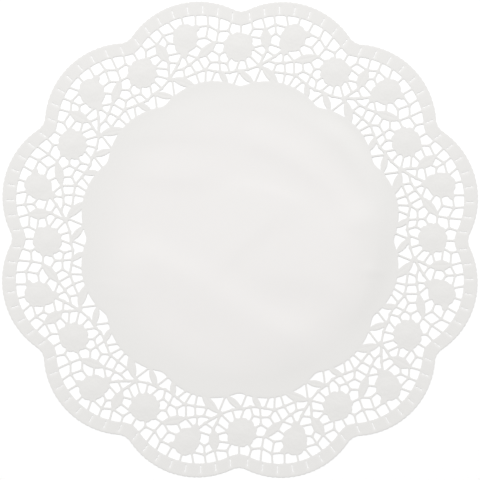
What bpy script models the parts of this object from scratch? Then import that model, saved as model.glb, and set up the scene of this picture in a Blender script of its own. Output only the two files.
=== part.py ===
"""A round paper doily, 36 cm across from peak to peak.

It is one die-cut sheet that lies flat: a scalloped edge of twelve arcs, a band of lace
with 22 gaps of each repeat cut through, and a plain round middle. Metres, +Z up, with the
origin at the middle of the underside and a valley of the edge on each of +X, +Y, -X and -Y.
"""

from collections import namedtuple
from math import atan2, cos, hypot, radians, sin, sqrt

import bpy

# Driving dimensions, in metres
SCALLOPS = 12
PEAK_RADIUS = 0.180  # middle of the doily to the top of a scallop
SCALLOP_ARC_RADIUS = 0.0647  # each scallop is one arc of this radius
SHEET_THICKNESS = 0.001  # paper with the height of its embossing
STEPS_PER_SCALLOP = 12  # straight steps that stand for one scallop's arc

PITCH = radians(360 / SCALLOPS)  # angle from one scallop to the next

PAPER_WHITE = (0.86, 0.85, 0.83, 1.0)
PAPER_ROUGHNESS = 0.85

# The gaps that are cut through one repeat, in millimetres and degrees. angle is counted
# clockwise from a valley and radius from the middle of the doily. A gap is a polygon whose
# corners lie on an ellipse of half_across by half_along, along standing radially, and turn
# moves its first corner clockwise from the outward direction.
Gap = namedtuple("Gap", "name angle radius half_across half_along corners turn")
GAPS = (
    Gap("edge window 1", 4.5, 159.6, 5.2, 3.3, 4, 36),
    Gap("edge window 2", 7.4, 162.3, 4.6, 4.2, 4, 30),
    Gap("edge window 3", 10.4, 164.5, 5.0, 4.3, 4, 41),
    Gap("edge window 4", 13.2, 166.5, 5.0, 5.2, 3, 184),
    Gap("edge window 5", 16.7, 165.8, 5.3, 4.6, 4, 45),
    Gap("edge window 6", 19.8, 164.0, 5.0, 5.0, 4, 53),
    Gap("edge window 7", 22.8, 161.5, 4.5, 5.1, 4, 50),
    Gap("edge window 8", 25.5, 158.7, 4.6, 4.2, 4, 45),
    Gap("pentagon right of the valley", 1.6, 155.6, 3.8, 4.4, 5, 12),
    Gap("pentagon left of the valley", 28.4, 155.4, 3.8, 4.4, 5, -12),
    Gap("window over the leaf", 4.6, 152.9, 5.1, 3.1, 4, 47),
    Gap("window beside the bud", 19.3, 155.3, 4.2, 4.1, 4, 50),
    Gap("long lozenge", 22.1, 152.3, 3.6, 4.8, 4, -8),
    Gap("window over the rose", 25.0, 150.3, 5.4, 4.3, 4, 57),
    Gap("window under the bud", 19.2, 147.8, 5.1, 3.3, 5, 20),
    Gap("window at the leaf's end", 23.4, 142.0, 4.0, 3.8, 5, 30),
    Gap("window at the calyx", 9.9, 142.1, 4.8, 3.6, 4, 60),
    Gap("window beside the rose", 4.8, 135.6, 4.6, 3.6, 4, 62),
    Gap("middle window", 15.9, 131.6, 4.0, 4.2, 4, 33),
    Gap("window under the rose", 27.3, 128.9, 4.0, 4.2, 5, 0),
    Gap("triangle on the stem", 4.5, 123.2, 5.0, 5.8, 3, 190),
    Gap("window on the middle", 26.8, 119.8, 5.0, 4.2, 4, 50),
)


def clear_scene():
    for item in list(bpy.data.objects):
        bpy.data.objects.remove(item, do_unlink=True)


def paper_material():
    material = bpy.data.materials.new("white_paper")
    material.use_nodes = True
    shader = material.node_tree.nodes["Principled BSDF"]
    shader.inputs["Base Color"].default_value = PAPER_WHITE
    shader.inputs["Roughness"].default_value = PAPER_ROUGHNESS
    shader.inputs["Metallic"].default_value = 0.0
    return material


def polar(radius, angle):
    """The point this far out, at an angle counted clockwise from +Y."""
    return radius * sin(angle), radius * cos(angle)


def scallop_points(middle):
    """The arc of one scallop, clockwise, without the valley that ends it."""
    arc_centre_radius = PEAK_RADIUS - SCALLOP_ARC_RADIUS
    centre_x, centre_y = polar(arc_centre_radius, middle)
    beside = arc_centre_radius * sin(PITCH / 2)
    ahead = sqrt(SCALLOP_ARC_RADIUS**2 - beside**2)
    half_arc = atan2(beside, ahead) + PITCH / 2
    for step in range(STEPS_PER_SCALLOP):
        angle = middle + half_arc * (2 * step / STEPS_PER_SCALLOP - 1)
        across, up = polar(SCALLOP_ARC_RADIUS, angle)
        yield centre_x + across, centre_y + up


def outline():
    return [
        point
        for number in range(SCALLOPS)
        for point in scallop_points(PITCH * (number + 0.5))
    ]


def gap_points(gap, repeat):
    """The corners of one gap in one repeat of the lace."""
    direction = PITCH * repeat + radians(gap.angle)
    centre_x, centre_y = polar(gap.radius / 1000, direction)
    for corner in range(gap.corners):
        angle = radians(gap.turn + 360 * corner / gap.corners)
        across = gap.half_across / 1000 * sin(angle)
        along = gap.half_along / 1000 * cos(angle)
        x, y = polar(hypot(across, along), atan2(across, along) + direction)
        yield centre_x + x, centre_y + y


def add_loop(curve, points):
    points = list(points)
    loop = curve.splines.new("POLY")
    loop.points.add(len(points) - 1)
    for place, (x, y) in zip(loop.points, points):
        place.co = (x, y, 0.0, 1.0)
    loop.use_cyclic_u = True


def make_doily():
    """The sheet is a filled flat curve, with the gaps as loops inside it, extruded both ways."""
    curve = bpy.data.curves.new("doily", "CURVE")
    curve.dimensions = "2D"
    curve.fill_mode = "BOTH"
    curve.extrude = SHEET_THICKNESS / 2
    add_loop(curve, outline())
    for repeat in range(SCALLOPS):
        for gap in GAPS:
            add_loop(curve, gap_points(gap, repeat))
    curve.materials.append(paper_material())
    doily = bpy.data.objects.new("doily", curve)
    doily.location.z = SHEET_THICKNESS / 2
    bpy.context.scene.collection.objects.link(doily)


clear_scene()
make_doily()
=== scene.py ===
"""A round white paper doily with a die-cut and embossed lace border, lying flat on a pale table.

The lace is one repeat of thirty degrees, charted and turned twelve times. A field over the
repeat says how far each place is from the nearest paper. Its level lines are the edges of the gaps
and the rings of points that carry the embossing. A constrained triangulation then makes the sheet.
"""

from collections import namedtuple
from math import cos, degrees, hypot, pi, radians, sin

import bmesh
import bpy
import numpy as np
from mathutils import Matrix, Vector
from mathutils.geometry import delaunay_2d_cdt


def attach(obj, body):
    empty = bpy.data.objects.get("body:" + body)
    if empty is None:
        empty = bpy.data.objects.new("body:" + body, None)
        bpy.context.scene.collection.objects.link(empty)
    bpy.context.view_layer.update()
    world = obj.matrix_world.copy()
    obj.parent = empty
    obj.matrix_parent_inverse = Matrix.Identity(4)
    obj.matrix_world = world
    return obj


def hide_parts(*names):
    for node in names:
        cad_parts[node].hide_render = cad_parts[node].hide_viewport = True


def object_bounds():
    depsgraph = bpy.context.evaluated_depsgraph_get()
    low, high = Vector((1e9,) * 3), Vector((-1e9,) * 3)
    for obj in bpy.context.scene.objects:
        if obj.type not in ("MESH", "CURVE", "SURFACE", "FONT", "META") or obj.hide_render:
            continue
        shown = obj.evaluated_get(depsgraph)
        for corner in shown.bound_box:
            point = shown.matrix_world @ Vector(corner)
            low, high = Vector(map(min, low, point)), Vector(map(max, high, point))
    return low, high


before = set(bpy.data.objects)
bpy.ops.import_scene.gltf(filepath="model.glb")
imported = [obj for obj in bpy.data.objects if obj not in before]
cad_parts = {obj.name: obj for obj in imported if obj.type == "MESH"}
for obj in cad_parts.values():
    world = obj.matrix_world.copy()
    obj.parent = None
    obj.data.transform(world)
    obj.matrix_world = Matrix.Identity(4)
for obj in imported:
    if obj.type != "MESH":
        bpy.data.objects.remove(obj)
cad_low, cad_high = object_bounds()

bl_info = {
    "name": "Paper Lace Doily",
    "version": (1, 0, 0),
    "blender": (4, 5, 0),
    "location": "3D View > Sidebar > Doily",
    "description": "Makes a white paper doily with a rose lace border, and a pale table to lay it on",
    "category": "Object",
}

# ------------------------------------------------------------
# The chart of one repeat. Angles are degrees clockwise from the valley of the scalloped edge, and
# radii and widths are chart millimetres, which MM turns into metres so that the sheet fits the CAD.
# ------------------------------------------------------------
REPEATS = 12
PITCH = 360 / REPEATS
PEAK_ANGLE = PITCH / 2

EDGE_CENTRE, EDGE_ARC, EDGE_BLEND = 119.8, 59.7, 6.4  # outer edge of the border
INNER_CENTRE, INNER_ARC, INNER_BLEND = 116.0, 53.3, 7.5  # inner edge of the border
MIDDLE_PEAK, MIDDLE_ARC, MIDDLE_BLEND = 119.4, 46.0, 2.5  # edge of the plain middle
EDGE_RADIUS = 175  # roughly, to count the edge's points by
TEETH = 24  # beads along one scallop
TOOTH_POINTS = 5  # points along one bead
TOOTH_HEIGHT = 0.35
TOOTH_REST = 0.64  # share of a bead that lies inside the arcs
CHART_WIDTH = 2 * (EDGE_CENTRE * cos(radians(PEAK_ANGLE)) + EDGE_ARC + TOOTH_HEIGHT * (1 - TOOTH_REST))
MM = (cad_high.x - cad_low.x) / CHART_WIDTH

SLIT_CENTRE, SLIT_REACH, SLIT_LENGTH = 115.3, 58.2, 5.3  # the slits fan out from here
SLIT_FAN = ((5.5, 4.0), (16.5, 15.0), (27.5, 22.0), (38.8, 21.0))  # each one's turn and its own tilt
SLIT_SHAPE = (  # half width at shares of its length
    (0.0, 0.16), (0.12, 0.40), (0.3, 0.26), (0.5, 0.20), (0.7, 0.26), (0.88, 0.42), (1.0, 0.18),
)
SLIT_HALF = 0.2  # half width at a slit's waist

BAR, STEM, BRANCH = 1.35, 1.75, 1.5  # widths of the threads

KNOTS = {
    # feet of the threads on the border
    "b0": (0.0, 159.2), "b1": (2.7, 161.7), "b2": (5.5, 165.0), "b3": (8.3, 168.1), "b4": (11.3, 170.0),
    "b5": (15.0, 171.3), "b6": (18.6, 170.3), "b7": (21.5, 167.9), "b8": (24.5, 165.0), "b9": (27.6, 162.0),
    # knots of the net
    "n1": (3.3, 156.1), "n2": (6.7, 156.4), "n3": (9.1, 160.9), "n4": (9.6, 154.5), "n5": (21.3, 159.6),
    "n6": (23.8, 154.6), "n7": (26.6, 154.6), "n8": (20.2, 151.2), "n9": (22.9, 146.7), "n10": (23.3, 137.3),
    "n11": (23.1, 132.0), "n12": (20.3, 132.7), "n13": (25.5, 130.3),
    # on the round rose
    "r0": (0.0, 151.0), "r1": (2.1, 149.6), "r2": (2.5, 150.1), "r3": (3.2, 141.7), "r4": (2.5, 136.2),
    "r5": (1.2, 133.5), "r6": (27.7, 149.6), "r7": (25.8, 145.4), "r8": (25.7, 140.1), "r9": (27.0, 135.6),
    "r10": (29.7, 133.0),
    # on the opening bud and its calyx
    "u1": (12.7, 160.3), "u2": (14.9, 162.8), "u3": (17.9, 160.0), "u4": (12.9, 160.4), "u5": (11.9, 151.5),
    "u6": (16.8, 147.8), "u7": (17.3, 151.5), "u8": (17.7, 160.4),
    "c1": (12.3, 144.7), "c2": (12.8, 143.4), "c3": (13.3, 143.2),
    # on the leaves
    "a1": (6.6, 149.6), "a2": (7.9, 150.4), "a3": (7.7, 146.3), "a4": (6.9, 145.2), "a5": (7.8, 143.0),
    "l1": (18.8, 142.4), "l2": (21.0, 142.0), "l3": (19.1, 139.4), "l4": (16.6, 137.6), "l5": (22.3, 146.6),
    # on the stems
    "s1": (7.0, 136.4), "s2": (7.8, 141.0), "s3": (10.5, 137.8), "s4": (8.1, 132.9), "s5": (12.3, 142.8),
    "s6": (8.9, 133.6), "s7": (11.4, 132.8), "s8": (13.3, 134.3), "s9": (13.9, 134.5),
    # on the branch that runs round the middle
    "j": (6.1, 129.3), "k1": (2.4, 125.7), "k2": (28.3, 124.7), "k3": (26.2, 123.5), "k4": (23.0, 124.5),
    "k5": (21.4, 125.6), "k6": (18.4, 128.2), "k7": (17.9, 128.0), "k8": (14.9, 127.2), "k9": (10.9, 126.2),
    # on the edge of the middle
    "m1": (5.05, 115.8), "m2": (15.2, 117.5), "m3": (17.1, 117.5), "m4": (19.0, 117.3), "m5": (27.1, 113.5),
    "t1": (6.7, 127.7), "t2": (29.3, 123.7),
    # the branch's last knot, seen from the repeat before
    "k2-": (-1.7, 124.7),
}

THREADS = {
    BAR: (
        "b0 r0", "b1 n1 r1", "b2 n2", "b3 n3 n4 a2", "b4 u1", "b5 u2", "b6 u3", "b7 n5 n8 l5", "b8 n6 n9",
        "b9 n7 r6", "n1 n2 n3 u4", "r2 a1", "n4 u5", "a3 c1", "a4 r3 s1", "s2 s3", "r4 j", "r5 k1", "c2 s8",
        "c3 l4", "u6 l1", "u7 n8", "u8 n5 n6 n7", "n9 r7", "l2 n10 r8", "n10 n11 k4", "l3 n12 n11 n13 r9",
        "n13 k3", "n12 k6", "l4 k7", "s9 k8", "s7 k9", "r10 k2", "t1 m1", "k8 m2", "k6 m3", "k5 m4", "t2 m5",
    ),
    STEM: ("j s1 s2 a5", "j s4 s3 s5"),
    BRANCH: ("s6 s7 s8 s9 l4", "j k1 k2-", "k9 k8 k7 k6 k5 k4 k3 k2"),
}

Leaf = namedtuple("Leaf", "tip base left right")  # bulges seen from the base to the tip
LEAVES = (
    Leaf((6.55, 157.0), (7.5, 141.6), 3.6, 4.2),
    Leaf((23.0, 147.3), (16.4, 137.4), 3.1, 3.3),
    Leaf((6.7, 129.0), (13.6, 117.0), 2.5, 3.8),
    Leaf((22.6, 125.4), (25.1, 115.2), 1.9, 2.6),
    Leaf((29.2, 125.3), (34.9, 115.6), 2.5, 2.4),
)

# A lobed oval that faces its top: half its width and length, its lobes, their depth and their turn.
Bloom = namedtuple("Bloom", "centre top across along petals notch turn")
ROSE = Bloom((-0.75, 142.2), (-0.75, 160.0), 11.5, 10.9, 11, 1.1, 28)
BUD = Bloom((14.6, 154.5), (15.18, 164.35), 9.4, 10.1, 9, 0.7, 20)
BUD_CUP = Bloom((13.3, 148.8), (15.18, 164.35), 6.0, 6.0, 9, 0.0, 0)

Taper = namedtuple("Taper", "start end start_width end_width")
CALYX = Taper((13.4, 146.5), (13.0, 141.9), 7.0, 4.2)  # from the bud's cup to its stem
SEPAL = Taper((15.0, 145.6), (16.2, 146.8), 3.2, 3.2)  # beside the calyx
SHOULDER = Taper((16.3, 158.4), (18.2, 159.2), 6.5, 4.2)  # a petal that stands out of the bud
ROSE_SHOULDER = Taper((1.6, 149.6), (2.7, 147.8), 3.4, 3.0)  # one that stands out of the rose
JOINT = Taper((6.2, 129.0), (6.2, 129.1), 3.4, 3.4)  # where stems and branch meet

# Each tier of petals: its share of the bloom's size, petals, depth of the notches, turn in degrees.
Tier = namedtuple("Tier", "size petals notch turn")
ROSE_TIERS = (
    Tier(0.80, 8, 0.14, 10), Tier(0.60, 7, 0.16, 40), Tier(0.41, 5, 0.18, 15), Tier(0.22, 3, 0.22, 60),
)
BUD_TIERS = (Tier(0.78, 5, 0.16, 25), Tier(0.55, 5, 0.18, 60), Tier(0.32, 3, 0.22, 0))

# ------------------------------------------------------------
# How the sheet lies: soft ridges, in chart millimetres along X and Y from the doily's centre.
# ------------------------------------------------------------
Fold = namedtuple("Fold", "points height left right")  # spreads seen along the points
FOLDS = (
    # the long ridge from the left to the lower right, and the fall beyond its end
    Fold(((-64, -17), (-42, -28), (-20, -40), (16, -63), (36, -73)), 0.85, 14, 25),
    Fold(((40, -60), (54, -57), (66, -50)), 0.7, 90, 22),
    # the ridge across the top right, and the rises beyond it
    Fold(((14, 72), (34, 63), (54, 51), (71, 36), (84, 16)), 0.45, 14, 9),
    Fold(((-40, 84), (-8, 80)), 0.2, 14, 14),
    Fold(((20, 96), (44, 86)), 0.4, 50, 50),
    Fold(((89, 84), (103, 64), (119, 40)), 1.9, 10, 24),
    Fold(((95, 10), (112, 6)), 1.0, 18, 30),
    # the sharp short crest above the centre
    Fold(((4, 37), (20, 34), (37, 28)), 0.26, 6, 20),
    # the short crease below the centre
    Fold(((-11, -16), (2, -2), (17, 12)), 0.28, 30, 7),
    # the step down on the right, under the middle
    Fold(((32, -23), (55, -24), (68, -30)), 0.75, 60, 18),
    # the crest near the lower edge
    Fold(((-50, -80), (-20, -93), (0, -96)), 0.15, 25, 10),
    # low ridges at the top left
    Fold(((-84, 78), (-28, 78)), 0.2, 25, 8),
    Fold(((-66, 47), (-34, 46)), 0.28, 18, 8),
    # ripples at the left and right edges
    Fold(((-104, -33), (-82, -37)), 0.1, 4, 3),
    Fold(((-100, -42), (-80, -44)), 0.1, 4, 3),
    Fold(((94, -23), (106, -24)), 0.2, 5, 3),
)
LACE_FROM, LACE_FADE, LACE_LIFT = 108.0, 18.0, 0.05  # the lace lies flatter than the middle

# ------------------------------------------------------------
# The field over one repeat
# ------------------------------------------------------------
COLUMNS = 300
COLUMN_STEP = PITCH / COLUMNS
ROW_START, ROW_STEP, ROW_COUNT = 108.0, 0.25, 280
BORDER_BLEND, MOTIF_BLEND, THREAD_BLEND = 0.5, 0.8, 1.0  # how softly each meets the rest
WINDOW_MARGIN = 2.5  # how far around a shape the field is worked out
FAR = 9.0  # stands for any distance that is too far to matter
TINY = 1e-6


def place(angle, radius):
    """The X and Y of a chart position."""
    return np.array((radius * sin(radians(angle)), radius * cos(radians(angle))))


def soft_min(a, b, blend):
    """The lower of two distances, rounded where they meet."""
    overlap = np.maximum(blend - np.abs(a - b), 0) / blend
    return np.minimum(a, b) - overlap * overlap * blend / 4


def nearest_arc(x, y, centre_radius, blend):
    """Distance to the nearest of the scallops' centres, rounded in the valleys."""
    nearest = None
    for step in (-1, 0, 1):
        centre = place(PEAK_ANGLE + step * PITCH, centre_radius)
        reach = np.hypot(x - centre[0], y - centre[1])
        nearest = reach if nearest is None else soft_min(nearest, reach, blend)
    return nearest


def along_line(x, y, start, end):
    """How far along a line each place is, from 0 to 1, and how far from it."""
    step = end - start
    share = np.clip(((x - start[0]) * step[0] + (y - start[1]) * step[1]) / (step @ step), 0, 1)
    return share, np.hypot(x - start[0] - share * step[0], y - start[1] - share * step[1])


def oval(x, y, bloom):
    """Size, as a share of the bloom, and direction in radians of each place seen from its centre."""
    centre = place(*bloom.centre)
    up = place(*bloom.top) - centre
    up = up / hypot(*up)
    across = ((x - centre[0]) * up[1] - (y - centre[1]) * up[0]) / bloom.across
    along = ((x - centre[0]) * up[0] + (y - centre[1]) * up[1]) / bloom.along
    return np.hypot(across, along), np.arctan2(across, along)


def leaf_sides(leaf):
    """Centre and radius of the two arcs that bound a leaf."""
    tip, base = place(*leaf.tip), place(*leaf.base)
    length = hypot(*(tip - base))
    ahead = (tip - base) / length
    right = np.array((ahead[1], -ahead[0]))
    middle = (tip + base) / 2
    sides = []
    for bulge, way in ((leaf.left, 1), (leaf.right, -1)):
        radius = (length * length / 4 + bulge * bulge) / (2 * bulge)
        sides.append((middle + right * way * (radius - bulge), radius))
    return sides


class Field:
    """Distance to the nearest paper over one repeat: below zero on paper, above it in a gap.

    Columns run clockwise and close on themselves, and rows run outwards."""

    def __init__(self):
        angle = np.radians(np.arange(-COLUMNS, 2 * COLUMNS) * COLUMN_STEP)[None, :]
        radius = (ROW_START + ROW_STEP * np.arange(ROW_COUNT))[:, None]
        self.x, self.y = radius * np.sin(angle), radius * np.cos(angle)
        x, y = self.x[:, COLUMNS:2 * COLUMNS], self.y[:, COLUMNS:2 * COLUMNS]
        border = INNER_ARC - nearest_arc(x, y, INNER_CENTRE, INNER_BLEND)
        middle = nearest_arc(x, y, MIDDLE_PEAK - MIDDLE_ARC, MIDDLE_BLEND) - MIDDLE_ARC
        self.value = soft_min(border, middle, BORDER_BLEND)

    def add(self, places, reach, distance, blend):
        """Joins a shape to the paper, in the window that holds its places with reach around them."""
        places = np.array(places)
        radii = np.hypot(*places.T)
        angles = np.degrees(np.arctan2(places[:, 0], places[:, 1]))
        margin = degrees(reach / ROW_START)
        first = int((angles.min() - margin) / COLUMN_STEP) + COLUMNS
        last = int((angles.max() + margin) / COLUMN_STEP) + COLUMNS + 1
        low = max(int((radii.min() - reach - ROW_START) / ROW_STEP), 0)
        high = min(int((radii.max() + reach - ROW_START) / ROW_STEP) + 1, ROW_COUNT)
        columns = np.arange(first, last) % COLUMNS
        shape = distance(self.x[low:high, first:last], self.y[low:high, first:last])
        self.value[low:high, columns] = soft_min(self.value[low:high, columns], shape, blend)

    def add_taper(self, start, end, start_width, end_width):
        """A straight thread with round ends, whose width may change along it."""
        start, end = place(*start), place(*end)

        def distance(x, y):
            share, away = along_line(x, y, start, end)
            return away - (start_width + (end_width - start_width) * share) / 2

        self.add((start, end), max(start_width, end_width) / 2 + WINDOW_MARGIN, distance, THREAD_BLEND)

    def add_leaf(self, leaf):
        """A pointed leaf between two arcs."""
        sides = leaf_sides(leaf)

        def distance(x, y):
            return np.maximum(*(np.hypot(x - centre[0], y - centre[1]) - radius for centre, radius in sides))

        reach = max(leaf.left, leaf.right) + WINDOW_MARGIN
        self.add((place(*leaf.tip), place(*leaf.base)), reach, distance, MOTIF_BLEND)

    def add_bloom(self, bloom):
        """An oval flower with one row of petals showing at its rim."""
        centre = place(*bloom.centre)
        size = (bloom.across + bloom.along) / 2

        def distance(x, y):
            share, way = oval(x, y, bloom)
            petals = 1 - np.abs(np.cos((way - radians(bloom.turn)) * bloom.petals / 2))
            return (share - 1) * size + bloom.notch * petals

        self.add((centre + bloom.along, centre - bloom.along), WINDOW_MARGIN, distance, MOTIF_BLEND)

    def at(self, x, y):
        """The field's value at any place on the ring."""
        column = (np.degrees(np.arctan2(x, y)) / COLUMN_STEP) % COLUMNS
        row = np.clip((np.hypot(x, y) - ROW_START) / ROW_STEP, 0, ROW_COUNT - 1.001)
        i, j = column.astype(int) % COLUMNS, row.astype(int)
        u, v = column - np.floor(column), row - j
        k = (i + 1) % COLUMNS
        near = self.value[j, i] * (1 - u) + self.value[j, k] * u
        far = self.value[j + 1, i] * (1 - u) + self.value[j + 1, k] * u
        return near * (1 - v) + far * v

    def level_lines(self, level):
        """The closed lines where the field has this level, each with its paper on the left."""
        open_side = self.value > level
        # sides of a cell: 0 low row, 1 next column, 2 high row, 3 this column
        turns = {1: ((3, 0),), 2: ((0, 1),), 3: ((3, 1),), 4: ((1, 2),), 6: ((0, 2),), 7: ((3, 2),),
                 8: ((2, 3),), 9: ((2, 0),), 11: ((2, 1),), 12: ((1, 3),), 13: ((1, 0),), 14: ((0, 3),)}
        saddles = {(5, True): ((1, 0), (3, 2)), (5, False): ((3, 0), (1, 2)),
                   (10, True): ((0, 3), (2, 1)), (10, False): ((0, 1), (2, 3))}
        corner = open_side.astype(int)
        beside = np.roll(corner, -1, 1)
        case = corner[:-1] + 2 * beside[:-1] + 4 * beside[1:] + 8 * corner[1:]
        follows = {}
        for j, i in zip(*np.nonzero((case > 0) & (case < 15))):
            k = (i + 1) % COLUMNS
            kind = case[j, i]
            if kind in (5, 10):
                centre = self.value[j:j + 2, [i, k]].mean() > level
                pairs = saddles[(kind, bool(centre))]
            else:
                pairs = turns[kind]
            sides = (("row", j, i), ("column", j, k), ("row", j + 1, i), ("column", j, i))
            for start, end in pairs:
                follows[sides[start]] = sides[end]
        lines = []
        while follows:
            side = next(iter(follows))
            line, last = [], None
            while side in follows:
                line.append(self.crossing(side, level, last))
                last = line[-1][0]
                side = follows.pop(side)
            line = np.array(line)
            angle = np.radians(line[:, 0] * COLUMN_STEP)
            radius = ROW_START + line[:, 1] * ROW_STEP
            lines.append(np.stack((radius * np.sin(angle), radius * np.cos(angle)), 1))
        return lines

    def crossing(self, side, level, last):
        """Column and row where the level crosses one side of a cell, near the last column."""
        kind, j, i = side
        here = self.value[j, i]
        if kind == "row":
            there = self.value[j, (i + 1) % COLUMNS]
            column, row = i + (level - here) / (there - here), j
        else:
            there = self.value[j + 1, i]
            column, row = i, j + (level - here) / (there - here)
        if last is not None:
            column += COLUMNS * round((last - column) / COLUMNS)
        return column, row


def lace_field():
    """The whole lace of one repeat: leaves, blooms and the threads between them."""
    field = Field()
    for leaf in LEAVES:
        field.add_leaf(leaf)
    for bloom in (ROSE, BUD, BUD_CUP):
        field.add_bloom(bloom)
    for taper in (CALYX, SEPAL, SHOULDER, ROSE_SHOULDER, JOINT):
        field.add_taper(*taper)
    for width, chains in THREADS.items():
        for chain in chains:
            knots = [KNOTS[name] for name in chain.split()]
            for start, end in zip(knots, knots[1:]):
                field.add_taper(start, end, width, width)
    return field


# ------------------------------------------------------------
# Lines and points of the sheet
# ------------------------------------------------------------
FINE_STEP, FEWEST_FINE = 0.2, 12  # a line's step and fewest points before it is thinned
FEWEST = 8  # its fewest points afterwards
ROW_SHARE = 0.87  # distance of a grid's rows, as a share of its spacing


def loop_area(points):
    """Signed area of a closed line, above zero when it runs anticlockwise."""
    x, y = points.T
    return (x * np.roll(y, -1) - np.roll(x, -1) * y).sum() / 2


def even_points(points, count):
    """A closed line redrawn with evenly spaced points."""
    closed = np.vstack((points, points[:1]))
    run = np.concatenate(([0], np.cumsum(np.hypot(*np.diff(closed, axis=0).T))))
    at = np.linspace(0, run[-1], count, endpoint=False)
    return np.stack([np.interp(at, run, closed[:, axis]) for axis in (0, 1)], 1)


def fair_points(points, straight, bend):
    """A closed line redrawn with a point for each straight length or bend, whichever comes first."""
    length = np.hypot(*(np.roll(points, -1, 0) - points).T).sum()
    fine = even_points(points, max(int(length / FINE_STEP), FEWEST_FINE))
    fine = (np.roll(fine, 1, 0) + 2 * fine + np.roll(fine, -1, 0)) / 4
    step = np.roll(fine, -1, 0) - fine
    heading = np.arctan2(step[:, 1], step[:, 0])
    turn = np.abs((heading - np.roll(heading, 1) + pi) % (2 * pi) - pi)
    turn = (np.roll(turn, 1) + turn + np.roll(turn, -1)) / 3
    weight = np.hypot(*step.T) / straight + (turn + np.roll(turn, -1)) / 2 / bend
    run = np.concatenate(([0], np.cumsum(weight)))
    at = np.linspace(0, run[-1], max(round(run[-1]), FEWEST), endpoint=False)
    closed = np.vstack((fine, fine[:1]))
    return np.stack([np.interp(at, run, closed[:, axis]) for axis in (0, 1)], 1)


def arc_radius(angle, centre_radius, arc, blend):
    """Radius of the scalloped edge at an angle, with the valley filled in softly."""
    radius = None
    for step in (-1, 0, 1):
        turn = np.radians(angle - PEAK_ANGLE - step * PITCH)
        inside = np.maximum(arc * arc - (centre_radius * np.sin(turn)) ** 2, 0)
        reach = centre_radius * np.cos(turn) + np.sqrt(inside)
        radius = reach if radius is None else -soft_min(-radius, -reach, blend)
    return radius


def edge_line():
    """The beaded outer edge of one repeat, anticlockwise."""
    share = np.arange(TEETH * TOOTH_POINTS) / TOOTH_POINTS
    bead = np.abs(np.cos(pi * (share - 0.5))) - TOOTH_REST
    angle = share * PITCH / TEETH
    radius = arc_radius(angle, EDGE_CENTRE, EDGE_ARC, EDGE_BLEND) + TOOTH_HEIGHT * bead
    angle = np.radians(angle)
    return np.stack((radius * np.sin(angle), radius * np.cos(angle)), 1)[::-1]


def inset_edge(inset, spacing):
    """Points along the outer edge, a little way in."""
    count = round(radians(PITCH) * EDGE_RADIUS / spacing)
    angle = (np.arange(count) + 0.5) * PITCH / count
    radius = arc_radius(angle, EDGE_CENTRE, EDGE_ARC, EDGE_BLEND) - inset
    angle = np.radians(angle)
    return np.stack((radius * np.sin(angle), radius * np.cos(angle)), 1)


def slit_ends():
    """The inner and outer end of each slit of one repeat."""
    hub = place(PEAK_ANGLE, SLIT_CENTRE)
    ends = []
    for side in (-1, 1):
        for turn, tilt in SLIT_FAN:
            centre = hub + place(PEAK_ANGLE + side * turn, SLIT_REACH)
            half = place(PEAK_ANGLE + side * tilt, SLIT_LENGTH / 2)
            ends.append((centre - half, centre + half))
    return ends


def slit_line(start, end, grow=0.0):
    """The waisted outline of one slit, clockwise, grown by a margin."""
    step = end - start
    side = np.array((step[1], -step[0])) / hypot(*step)
    ahead = step / hypot(*step)
    right, left = [], []
    for share, half in SLIT_SHAPE:
        stretch = ahead * grow * (2 * share - 1)
        right.append(start + step * share + stretch + side * (half + grow))
        left.append(start + step * share + stretch - side * (half + grow))
    return np.array(left + right[::-1])


def ring_grid(low, high, spacing, whole=False):
    """Staggered points in one repeat between two radii, or all the way round."""
    repeat = 360 if whole else PITCH
    points = []
    for row, radius in enumerate(np.arange(low, high, spacing * ROW_SHARE)):
        count = max(round(radians(repeat) * radius / spacing), 1)
        angle = np.radians((np.arange(count) + 0.5 * (row % 2) + 0.25) * repeat / count)
        points.append(np.stack((radius * np.sin(angle), radius * np.cos(angle)), 1))
    return np.vstack(points)


def turned(x, y, angle):
    """X and Y turned clockwise by an angle in degrees."""
    turn = radians(angle)
    return x * cos(turn) + y * sin(turn), y * cos(turn) - x * sin(turn)


def turned_points(points, angle):
    """A list of points turned clockwise by an angle in degrees."""
    return np.stack(turned(*points.T, angle), 1)


def home(points):
    """X and Y of points, turned back into the first repeat."""
    radius = np.hypot(*points.T)
    angle = np.arctan2(points[:, 0], points[:, 1]) % radians(PITCH)
    return radius * np.sin(angle), radius * np.cos(angle)


def slit_distance(x, y):
    """Distance to the nearest slit of the repeat."""
    nearest = np.full(x.shape, FAR)
    for start, end in slit_ends():
        nearest = np.minimum(nearest, along_line(x, y, start, end)[1] - SLIT_HALF)
    return nearest


def edge_distance(x, y):
    """Distance in from the outer edge of the border."""
    return EDGE_ARC - nearest_arc(x, y, EDGE_CENTRE, EDGE_BLEND)


def motif_depth(x, y):
    """How far inside a bloom or a leaf each place is, below zero outside them."""
    depth = np.full(x.shape, -FAR)
    for step in (-1, 0, 1):
        u, v = turned(x, y, step * PITCH)
        for bloom in (ROSE, BUD, BUD_CUP):
            depth = np.maximum(depth, (1 - oval(u, v, bloom)[0]) * min(bloom.across, bloom.along))
        for leaf in LEAVES:
            sides = [radius - np.hypot(u - centre[0], v - centre[1]) for centre, radius in leaf_sides(leaf)]
            depth = np.maximum(depth, np.minimum(*sides))
    return depth


# ------------------------------------------------------------
# Height of the paper
# ------------------------------------------------------------
PETAL_SLOPE = 1.0  # width of the step from one tier of petals to the next
LEAF_INSET, LEAF_SLOPE = 0.7, 0.8  # where a leaf's veins set in, and how softly
MIDRIB_REACH = 0.45
VEIN_SHARE, VEIN_SLANT, VEIN_PITCH = 0.35, 0.8, 2.4
SLIT_DIP_REACH = 0.75


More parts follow.
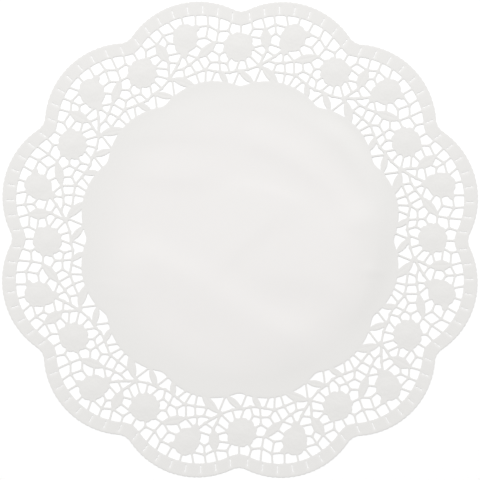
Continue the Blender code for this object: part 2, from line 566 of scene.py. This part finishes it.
def step_up(distance, slope):
    """A smooth step from 0 to 1 over a slope that is centred on zero distance."""
    share = np.clip(distance / slope + 0.5, 0, 1)
    return share * share * (3 - 2 * share)


def petal_height(x, y, bloom, tiers):
    """Overlapping tiers of petals: every tier stands a little higher than the one around it."""
    share, way = oval(x, y, bloom)
    size = (bloom.across + bloom.along) / 2
    height = np.zeros(x.shape)
    for tier in tiers:
        petals = 1 - np.abs(np.cos((way - radians(tier.turn)) * tier.petals / 2))
        rim = tier.size * (1 - tier.notch * petals)
        height += step_up((rim - share) * size, PETAL_SLOPE)
    return height


def leaf_height(x, y, leaf):
    """A sunk midrib with slanting veins on both sides of it."""
    tip, base = place(*leaf.tip), place(*leaf.base)
    length = hypot(*(tip - base))
    ahead = (tip - base) / length
    along = (x - base[0]) * ahead[0] + (y - base[1]) * ahead[1]
    across = np.abs((x - base[0]) * ahead[1] - (y - base[1]) * ahead[0])
    sides = [radius - np.hypot(x - centre[0], y - centre[1]) for centre, radius in leaf_sides(leaf)]
    inside = step_up(np.minimum(*sides) - LEAF_INSET, LEAF_SLOPE)
    midrib = -np.exp(-(across / MIDRIB_REACH) ** 2)
    veins = VEIN_SHARE * np.sin((along - VEIN_SLANT * across) * 2 * pi / VEIN_PITCH)
    return inside * (midrib + veins)


def emboss(x, y, depth, paper):
    """Height of the pressed pattern over the first repeat, in chart millimetres."""
    roll = 1 - np.clip(1 - depth / paper.roll, 0, 1) ** 2
    height = paper.relief * roll
    height -= paper.slit_dip * np.exp(-(np.maximum(slit_distance(x, y), 0) / SLIT_DIP_REACH) ** 2)
    for step in (-1, 0, 1):
        u, v = turned(x, y, step * PITCH)
        height += paper.petal_step * petal_height(u, v, ROSE, ROSE_TIERS)
        height += paper.petal_step * petal_height(u, v, BUD, BUD_TIERS)
        for leaf in LEAVES:
            height += paper.vein_depth * leaf_height(u, v, leaf)
    return height


def rounded(points):
    """A bent line with its corners cut twice, so that it turns smoothly."""
    for _ in range(2):
        cut = [(3 * a + b) / 4 for a, b in zip(points, points[1:])]
        kept = [(a + 3 * b) / 4 for a, b in zip(points, points[1:])]
        points = [points[0], *(point for pair in zip(cut, kept) for point in pair), points[-1]]
    return points


def fold_lift(x, y):
    """Height of the sheet's folds at a place, x and y in chart millimetres from the centre."""
    lift = np.zeros(x.shape)
    for fold in FOLDS:
        points = rounded([np.array(point, float) for point in fold.points])
        away, side = np.full(x.shape, np.inf), np.zeros(x.shape)
        for start, end in zip(points, points[1:]):
            distance = along_line(x, y, start, end)[1]
            step = (end - start) / hypot(*(end - start))
            across = (x - start[0]) * step[1] - (y - start[1]) * step[0]
            side = np.where(distance < away, across / np.maximum(distance, TINY), side)
            away = np.minimum(away, distance)
        share = np.clip(side / 2 + 0.5, 0, 1)
        spread = fold.left * (1 - share) + fold.right * share
        lift += fold.height * np.exp(-(away / spread) ** 2)
    laid = 1 - step_up(np.hypot(x, y) - LACE_FROM, LACE_FADE)
    return lift * (LACE_LIFT + (1 - LACE_LIFT) * laid)


# ------------------------------------------------------------
# The sheet's mesh
# ------------------------------------------------------------
SMALLEST_GAP = 3.0  # square millimetres; smaller loops aren't cut
PRESSED_FROM, PRESSED_FADE = 98.0, 44.0  # radius where the middle turns into pressed paper
RIM_SHADE_REACH, SLIT_LIGHT_REACH = 0.6, 0.8  # how far the painted shade beside the edges and the painted light beside the slits reach
MIDDLE_RIM = 113.0  # the plain middle reaches at least this far out
MIDDLE_START, MIDDLE_INSET, MIDDLE_SPACING = 2.0, 1.2, 2.5  # the grid of the plain middle
GAP_POINTS = (1.8, 0.5)  # a gap's edge has a point for each such length or bend
NEAR_RINGS = ((-0.45, 1.7, 0.8), (-1.1, 1.8, 0.8))  # level of each ring, then as for a gap's edge
EDGE_INSETS = ((0.55, 1.3), (1.2, 1.8))  # how far in each of the border's rings is, and its spacing
SLIT_RING, SLIT_RING_POINTS = 0.5, 14  # the ring round each slit
RING_CLEAR, RING_SLIT_CLEAR = 0.3, 0.35  # least room between the rings and the edges and slits
FINE_REACH, FINE_SPACING, FINE_DEPTH = 172.0, 0.85, 1.4  # the grid inside blooms and leaves
PLAIN_REACH, PLAIN_SPACING = 178.0, 1.9  # the grid of the other paper
PLAIN_DEPTH, PLAIN_CLEAR, SLIT_CLEAR = 1.0, 1.7, 1.0  # it keeps off motifs, edges and slits
UNDER_SPACING, UNDER_CLEAR = 3.4, 1.6  # the grid of the underside
AREA_SLACK = 1e-3  # share by which the triangles may miss the area
CREASE = radians(50)  # sharper edges than this stay crisp


def repeat_all(points):
    """The points of one repeat, turned into all twelve places."""
    return [turned_points(points, step * PITCH) for step in range(REPEATS)]


def gap_loops(field):
    """The edges of the gaps of one repeat, clockwise round each gap."""
    loops = [fair_points(line, *GAP_POINTS) for line in field.level_lines(0.0)]
    return [loop for loop in loops if loop_area(loop) < -SMALLEST_GAP]


def sheet_depth(field, x, y):
    """How far inside the paper's edges each place of the first repeat is."""
    depth = np.minimum(-field.at(x, y), edge_distance(x, y))
    return np.where(np.hypot(x, y) < ROW_START, FAR, depth)


def inner_points(field):
    """Points of one repeat that carry the embossing, none of them close to an edge or each other."""
    rings = [fair_points(line, straight, bend)
             for level, straight, bend in NEAR_RINGS for line in field.level_lines(level)]
    rings += [inset_edge(inset, spacing) for inset, spacing in EDGE_INSETS]
    rings += [even_points(slit_line(*ends, grow=SLIT_RING), SLIT_RING_POINTS) for ends in slit_ends()]
    rings = np.vstack(rings)
    at = home(rings)
    rings = rings[(sheet_depth(field, *at) > RING_CLEAR) & (slit_distance(*at) > RING_SLIT_CLEAR)]
    fine = ring_grid(MIDDLE_RIM, FINE_REACH, FINE_SPACING)
    fine = fine[motif_depth(*fine.T) > FINE_DEPTH]
    plain = ring_grid(MIDDLE_RIM, PLAIN_REACH, PLAIN_SPACING)
    clear = (motif_depth(*plain.T) < PLAIN_DEPTH) & (sheet_depth(field, *plain.T) > PLAIN_CLEAR)
    plain = plain[clear & (slit_distance(*plain.T) > SLIT_CLEAR)]
    return np.vstack((rings, fine, plain))


def coarse_points(field):
    """The few points of one repeat that the plain underside needs."""
    points = ring_grid(MIDDLE_RIM, PLAIN_REACH, UNDER_SPACING)
    return points[(sheet_depth(field, *points.T) > UNDER_CLEAR) & (slit_distance(*points.T) > SLIT_CLEAR)]


def triangulate(loops, points):
    """Triangles of the paper inside the first loop, which is anticlockwise, and outside the others.

    The others are clockwise. Triangles are anticlockwise and number the loops' points first."""
    places = np.vstack([*loops, points])
    owner = np.concatenate([np.full(len(loop), number) for number, loop in enumerate(loops)]
                           + [np.full(len(points), -1)])
    edges, first = [], 0
    for loop in loops:
        ring = np.arange(first, first + len(loop))
        edges.append(np.stack((ring, np.roll(ring, -1)), 1))
        first += len(loop)
    made, _, faces, origin, _, _ = delaunay_2d_cdt(
        [Vector(point) for point in places], np.vstack(edges).tolist(), [], 0, TINY, True)
    if len(made) != len(places):
        raise RuntimeError(f"the sheet's lines cross or touch: {len(places)} points became {len(made)}")
    names = np.array([sources[0] for sources in origin])
    corners = names[np.array(faces)]
    a, b, c = corners.T
    same_loop = (owner[a] == owner[b]) & (owner[b] == owner[c]) & (owner[a] >= 0)
    rising = ((a < b) & (b < c)) | ((b < c) & (c < a)) | ((c < a) & (a < b))
    corners = corners[~same_loop | rising]
    sides = places[corners]
    area = np.cross(sides[:, 1] - sides[:, 0], sides[:, 2] - sides[:, 0]).sum() / 2
    expected = sum(loop_area(loop) for loop in loops)
    if abs(area - expected) > AREA_SLACK * expected:
        raise RuntimeError(f"the sheet's triangles cover {area:.0f} of {expected:.0f} square millimetres")
    return places, corners


def sheet_outlines(field):
    """Every closed line of the sheet: the outer edge first, then the slits and gaps."""
    edge = edge_line()
    loops = [np.vstack([turned_points(edge, -step * PITCH) for step in range(REPEATS)])]
    cuts = [slit_line(start, end) for start, end in slit_ends()] + gap_loops(field)
    for cut in cuts:
        loops += repeat_all(cut)
    return loops


def rim_faces(loops, under):
    """The faces of the paper's cut edges, between the upper points and those of the underside."""
    faces, first = [], 0
    for loop in loops:
        ring = np.arange(first, first + len(loop))
        ahead = np.roll(ring, -1)
        faces.append(np.stack((ring + under, ahead + under, ahead, ring), 1))
        first += len(loop)
    return np.vstack(faces)


def build_sheet_mesh(paper):
    """The finished doily: an embossed face, a plain underside that follows the folds, and cut edges."""
    field = lace_field()
    loops = sheet_outlines(field)
    middle = ring_grid(MIDDLE_START, MIDDLE_RIM - MIDDLE_INSET, MIDDLE_SPACING, whole=True)
    upper, upper_faces = triangulate(loops, np.vstack([*repeat_all(inner_points(field)), middle]))
    lower, lower_faces = triangulate(loops, np.vstack([*repeat_all(coarse_points(field)), middle]))

    x, y = home(upper)
    depth = sheet_depth(field, x, y)
    lift = fold_lift(*upper.T)
    lowest = lift.min()
    height = paper.thickness / MM + emboss(x, y, depth, paper) + lift - lowest
    top = np.column_stack((upper, height)) * MM
    bottom = np.column_stack((lower, np.maximum(fold_lift(*lower.T) - lowest, 0))) * MM

    faces = [*upper_faces.tolist(), *(lower_faces[:, ::-1] + len(upper)).tolist(),
             *rim_faces(loops, len(upper)).tolist()]
    mesh = bpy.data.meshes.new("doily_sheet")
    mesh.from_pydata(np.vstack((top, bottom)).tolist(), [], faces)
    pressed = np.concatenate([
        step_up(np.hypot(*points.T) - PRESSED_FROM, PRESSED_FADE) for points in (upper, lower)])
    # Painted shade: this mask darkens the paper next to every cut edge, fading out within a fraction of a
    # millimetre.
    rim = np.concatenate((np.exp(-np.maximum(depth, 0) / RIM_SHADE_REACH), np.zeros(len(lower))))
    # Painted light: this mask pales the paper around every slit, standing in for the light of the table
    # showing through it.
    slit = np.concatenate([
        np.exp(-(slit_distance(*home(points)) / SLIT_LIGHT_REACH) ** 2) for points in (upper, lower)])
    for name, values in (("pressed", pressed), ("rim", rim), ("slit", slit)):
        mesh.attributes.new(name, "FLOAT", "POINT").data.foreach_set("value", values.astype(np.float32))
    check_closed(mesh)
    return mesh


def check_closed(mesh):
    """Stops if the sheet has a hole in its skin, or faces that point inwards."""
    shell = bmesh.new()
    shell.from_mesh(mesh)
    open_edges = sum(not edge.is_manifold for edge in shell.edges)
    volume = shell.calc_volume(signed=True)
    shell.free()
    if open_edges or volume <= 0:
        raise RuntimeError(f"the sheet isn't closed: {open_edges} open edges, volume {volume:.3g}")


# ------------------------------------------------------------
# Materials
# ------------------------------------------------------------
NOISE_ROUGHNESS, NOISE_SPAN = 0.55, (0.3, 0.7)
CLOUD_SCALE, CLOUD_SHARE = 90.0, 0.35
FIBRE_SCALE, FIBRE_STRETCH, FIBRE_SHARE = 260.0, 9.0, 0.12
FIBRE_TURNS = (0.5, 1.6, 2.6)  # radians; the fibres lie three ways
GRAIN_SCALE, GRAIN_ROUGHNESS = 2600.0, 0.07
BUMP_STRENGTH = 0.35
PAPER_GLOSS, TABLE_GLOSS = 0.25, 0.1
TABLE_SCALE, TABLE_ROUGHNESS = 400.0, (0.85, 0.95)


def add_node(tree, kind, inputs=None, **settings):
    """A shader node with its settings, and its inputs set to values or linked to outputs."""
    node = tree.nodes.new(kind)
    for name, value in settings.items():
        setattr(node, name, value)
    for name, value in (inputs or {}).items():
        if isinstance(value, bpy.types.NodeSocket):
            tree.links.new(value, node.inputs[name])
        else:
            node.inputs[name].default_value = value
    return node


def new_material(name):
    """An empty node material: its tree, its shader and its object coordinates."""
    material = bpy.data.materials.new(name)
    material.use_nodes = True
    tree = material.node_tree
    shader = tree.nodes["Principled BSDF"]
    where = add_node(tree, "ShaderNodeTexCoord").outputs["Object"]
    return material, tree, shader, where


def add_noise(tree, where, scale, detail=3.0, stretch=None, turn=0.0):
    """Even noise over the paper, or noise that is stretched into fibres lying one way."""
    if stretch:
        mapped = add_node(tree, "ShaderNodeMapping", {
            "Vector": where, "Rotation": (0, 0, turn), "Scale": (1, stretch, 1)})
        where = mapped.outputs["Vector"]
    noise = add_node(tree, "ShaderNodeTexNoise", {
        "Vector": where, "Scale": scale, "Detail": detail, "Roughness": NOISE_ROUGHNESS})
    return noise.outputs["Fac"]


def add_range(tree, value, low, high):
    """The middle of a noise's span, spread over a new range."""
    node = add_node(tree, "ShaderNodeMapRange", {
        "Value": value, "From Min": NOISE_SPAN[0], "From Max": NOISE_SPAN[1], "To Min": low, "To Max": high})
    return node.outputs["Result"]


def add_tint(tree, factor, base, colour):
    """A base colour that turns into another one by a factor."""
    node = add_node(tree, "ShaderNodeMix", {"Factor": factor, "B": (*colour, 1)}, data_type="RGBA")
    if isinstance(base, bpy.types.NodeSocket):
        tree.links.new(base, node.inputs["A"])
    else:
        node.inputs["A"].default_value = (*base, 1)
    return node.outputs["Result"]


def paper_material(paper):
    """Uncoated white paper: faint clouds and fibres, greyer where it is pressed, with painted shade beside
    its cut edges and painted light beside its slits.
    """
    material, tree, shader, where = new_material("doily_paper")
    fibres = [add_noise(tree, where, FIBRE_SCALE, stretch=FIBRE_STRETCH, turn=turn) for turn in FIBRE_TURNS]
    mat = add_node(tree, "ShaderNodeMath", {0: fibres[0], 1: fibres[1]}, operation="MAXIMUM")
    mat = add_node(tree, "ShaderNodeMath", {0: mat.outputs[0], 1: fibres[2]}, operation="MAXIMUM")
    grain = add_noise(tree, where, GRAIN_SCALE, detail=2.0)
    clouds = add_range(tree, add_noise(tree, where, CLOUD_SCALE, detail=4.0), 0.0, CLOUD_SHARE)
    colour = add_tint(tree, clouds, paper.plain_white, paper.cloud_white)
    # The rim tint is painted shade beside the cut edges and the slit tint is painted light beside the slits;
    # the pressed tint is the lace's greyer tone.
    tints_and_painted_light = {"pressed": paper.pressed_white, "rim": paper.edge_painted_shade, "slit": paper.slit_painted_light}
    for name, tint in tints_and_painted_light.items():
        attribute = add_node(tree, "ShaderNodeAttribute", attribute_name=name)
        colour = add_tint(tree, attribute.outputs["Fac"], colour, tint)
    streaks = add_range(tree, mat.outputs[0], 0.0, FIBRE_SHARE)
    colour = add_tint(tree, streaks, colour, paper.fibre_white)
    tree.links.new(colour, shader.inputs["Base Color"])
    rough = add_range(tree, grain, paper.roughness - GRAIN_ROUGHNESS, paper.roughness + GRAIN_ROUGHNESS)
    tree.links.new(rough, shader.inputs["Roughness"])
    relief = add_node(tree, "ShaderNodeMath", {0: mat.outputs[0], 1: grain}, operation="ADD")
    bump = add_node(tree, "ShaderNodeBump", {
        "Height": relief.outputs[0], "Strength": BUMP_STRENGTH, "Distance": paper.fibre_depth})
    tree.links.new(bump.outputs["Normal"], shader.inputs["Normal"])
    shader.inputs["Specular IOR Level"].default_value = PAPER_GLOSS
    return material


def floor_material(table):
    """The pale matt top that the doily lies on."""
    material, tree, shader, where = new_material("table_white")
    shader.inputs["Base Color"].default_value = (*table.floor_white, 1)
    shader.inputs["Specular IOR Level"].default_value = TABLE_GLOSS
    mottle = add_range(tree, add_noise(tree, where, TABLE_SCALE), *TABLE_ROUGHNESS)
    tree.links.new(mottle, shader.inputs["Roughness"])
    return material


# ------------------------------------------------------------
# Sizes and colours that a user would change
# ------------------------------------------------------------
class DoilyPaperSettings(bpy.types.PropertyGroup):
    """Sizes and colours of the doily's paper"""
    thickness: bpy.props.FloatProperty(
        name="Thickness", description="Thickness of the paper", default=0.00012, min=0.00005, max=0.001,
        precision=5, unit="LENGTH", subtype="DISTANCE")
    relief: bpy.props.FloatProperty(
        name="Relief", description="Height of the rounded edges, in millimetres", default=0.07,
        min=0.0, max=1.0)
    roll: bpy.props.FloatProperty(
        name="Edge roll", description="Width of the rounded edges, in millimetres", default=0.8,
        min=0.1, max=3.0)
    slit_dip: bpy.props.FloatProperty(
        name="Slit dip", description="How far the paper dips into a slit, in millimetres", default=0.13,
        min=0.0, max=0.15)
    petal_step: bpy.props.FloatProperty(
        name="Petal step", description="Height of one tier of petals, in millimetres", default=0.07,
        min=0.0, max=0.5)
    vein_depth: bpy.props.FloatProperty(
        name="Vein depth", description="Depth of the leaves' midribs, in millimetres", default=0.07,
        min=0.0, max=0.5)
    plain_white: bpy.props.FloatVectorProperty(
        name="Plain paper", description="Colour of the plain middle", default=(0.779, 0.763, 0.7525),
        min=0.0, max=1.0, size=3, subtype="COLOR")
    cloud_white: bpy.props.FloatVectorProperty(
        name="Cloudy paper", description="Colour of the paper's faint clouds", default=(0.769, 0.753, 0.7405),
        min=0.0, max=1.0, size=3, subtype="COLOR")
    pressed_white: bpy.props.FloatVectorProperty(
        name="Pressed paper", description="Colour of the embossed lace", default=(0.738, 0.730, 0.7155),
        min=0.0, max=1.0, size=3, subtype="COLOR")
    # Painted shade: a slightly darker band along every cut edge, standing in for the shade at the paper's
    # edges.
    edge_painted_shade: bpy.props.FloatVectorProperty(
        name="Cut edges", description="Colour right beside a cut edge", default=(0.7305, 0.7225, 0.708),
        min=0.0, max=1.0, size=3, subtype="COLOR")
    # Painted light: a paler band round every slit, standing in for the light of the table showing through the
    # slit.
    slit_painted_light: bpy.props.FloatVectorProperty(
        name="Slits", description="Colour of the thinned paper beside a slit", default=(0.770, 0.762, 0.748),
        min=0.0, max=1.0, size=3, subtype="COLOR")
    fibre_white: bpy.props.FloatVectorProperty(
        name="Fibres", description="Colour of single fibres", default=(0.830, 0.820, 0.810),
        min=0.0, max=1.0, size=3, subtype="COLOR")
    fibre_depth: bpy.props.FloatProperty(
        name="Fibre depth", description="Depth of the fibres and the grain", default=0.00004,
        min=0.0, max=0.001, precision=6, unit="LENGTH", subtype="DISTANCE")
    roughness: bpy.props.FloatProperty(
        name="Roughness", description="Roughness of the paper", default=0.85, min=0.1, max=0.93,
        subtype="FACTOR")


class DoilyStageSettings(bpy.types.PropertyGroup):
    """The table, the lights and the camera"""
    floor_white: bpy.props.FloatVectorProperty(
        name="Table", description="Colour of the table top", default=(0.95, 0.95, 0.95),
        min=0.0, max=1.0, size=3, subtype="COLOR")
    floor_size: bpy.props.FloatProperty(
        name="Table size", description="Width of the table top", default=4.0, min=0.5, unit="LENGTH",
        subtype="DISTANCE")
    sky: bpy.props.FloatProperty(
        name="Sky", description="Strength of the even light from all sides", default=0.563, min=0.0, max=5.0)
    key: bpy.props.FloatProperty(
        name="Key light", description="Power of the soft light beyond the table's far side", default=215.0,
        min=0.0, unit="POWER")
    key_size: bpy.props.FloatProperty(
        name="Key size", description="Width of the soft light", default=2.4, min=0.05, unit="LENGTH",
        subtype="DISTANCE")
    camera_height: bpy.props.FloatProperty(
        name="Camera height", description="Height of the camera above the table", default=1.2, min=0.2,
        unit="LENGTH", subtype="DISTANCE")
    view_width: bpy.props.FloatProperty(
        name="View width", description="Width of the table that the camera sees, in chart millimetres",
        default=354.2, min=50.0)
    view_turn: bpy.props.FloatProperty(
        name="View turn", description="How far the camera is turned about its own line of sight",
        default=radians(0.26), unit="ROTATION", subtype="ANGLE")


# ------------------------------------------------------------
# Operators
# ------------------------------------------------------------
TABLE_DROP = 0.0001  # metres; keeps the table's face clear of the sheet's
KEY_PLACE = Vector((-0.55, 3.70, 3.35))  # metres
SENSOR_WIDTH = 36.0  # millimetres
CAMERA_SHIFT = -0.37  # chart millimetres along Y from the doily's centre


def shade_by_angle(thing, angle):
    """Smooth faces with crisp cut edges."""
    bpy.ops.object.select_all(action="DESELECT")
    bpy.context.view_layer.objects.active = thing
    thing.select_set(True)
    bpy.ops.object.shade_smooth_by_angle(angle=angle)
    thing.select_set(False)


class DOILY_OT_sheet(bpy.types.Operator):
    """Cut, emboss and lay down the doily's sheet of paper"""
    bl_idname = "doily.sheet"
    bl_label = "Make the lace sheet"
    bl_options = {"REGISTER", "UNDO"}

    def execute(self, context):
        paper = context.scene.doily_paper
        mesh = build_sheet_mesh(paper)
        sheet = bpy.data.objects.new("doily_sheet", mesh)
        context.scene.collection.objects.link(sheet)
        sheet.data.materials.append(paper_material(paper))
        shade_by_angle(sheet, CREASE)
        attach(sheet, "root")
        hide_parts("doily")
        return {"FINISHED"}


class DOILY_OT_stage(bpy.types.Operator):
    """Lay the pale table top, light it softly and hang the camera straight above the doily"""
    bl_idname = "doily.stage"
    bl_label = "Make the stage"
    bl_options = {"REGISTER", "UNDO"}

    def execute(self, context):
        stage = context.scene.doily_stage
        make_table(stage)
        make_lights(stage)
        make_camera(stage)
        return {"FINISHED"}


def make_table(stage):
    """A flat pale top that passes out of view on all sides."""
    bpy.ops.object.select_all(action="DESELECT")
    bpy.ops.mesh.primitive_plane_add(size=stage.floor_size, location=(0, 0, cad_low.z - TABLE_DROP))
    top = bpy.context.object
    top.name = top.data.name = "table_top"
    bpy.ops.object.transform_apply(location=True)
    top.data.materials.append(floor_material(stage))


def make_lights(stage):
    """An even white sky and one large soft light beyond the table's far side, a little to the left."""
    world = bpy.data.worlds.new("studio_sky")
    world.use_nodes = True
    background = world.node_tree.nodes["Background"]
    background.inputs["Color"].default_value = (1, 1, 1, 1)
    background.inputs["Strength"].default_value = stage.sky
    bpy.context.scene.world = world
    lamp = bpy.data.lights.new("key_light", "AREA")
    lamp.size = stage.key_size
    lamp.energy = stage.key
    light = bpy.data.objects.new("key_light", lamp)
    light.location = KEY_PLACE
    light.rotation_euler = (-KEY_PLACE).to_track_quat("-Z", "Y").to_euler()
    bpy.context.scene.collection.objects.link(light)


def make_camera(stage):
    """A camera straight above the doily, a hair off its centre."""
    data = bpy.data.cameras.new("camera")
    data.sensor_width = SENSOR_WIDTH
    data.lens = data.sensor_width * stage.camera_height / (stage.view_width * MM)
    camera = bpy.data.objects.new("camera", data)
    camera.location = (0, CAMERA_SHIFT * MM, stage.camera_height)
    camera.rotation_euler = (0, 0, stage.view_turn)
    bpy.context.scene.collection.objects.link(camera)
    bpy.context.scene.camera = camera
    bpy.context.scene.view_settings.view_transform = "Standard"


class DOILY_PT_panel(bpy.types.Panel):
    """Lists the doily's makers and their settings"""
    bl_idname = "DOILY_PT_panel"
    bl_label = "Paper Doily"
    bl_space_type = "VIEW_3D"
    bl_region_type = "UI"
    bl_category = "Doily"

    def draw(self, context):
        for settings, operator in ((context.scene.doily_paper, DOILY_OT_sheet),
                                   (context.scene.doily_stage, DOILY_OT_stage)):
            box = self.layout.box()
            for name in settings.__annotations__:
                box.prop(settings, name)
            box.operator(operator.bl_idname)


CLASSES = (DoilyPaperSettings, DoilyStageSettings, DOILY_OT_sheet, DOILY_OT_stage, DOILY_PT_panel)


def register():
    for item in CLASSES:
        bpy.utils.register_class(item)
    bpy.types.Scene.doily_paper = bpy.props.PointerProperty(type=DoilyPaperSettings)
    bpy.types.Scene.doily_stage = bpy.props.PointerProperty(type=DoilyStageSettings)


def unregister():
    del bpy.types.Scene.doily_stage
    del bpy.types.Scene.doily_paper
    for item in reversed(CLASSES):
        bpy.utils.unregister_class(item)


def main():
    """Makes every piece and the stage."""
    register()
    bpy.ops.doily.sheet()
    bpy.ops.doily.stage()


if __name__ == "__main__":
    main()
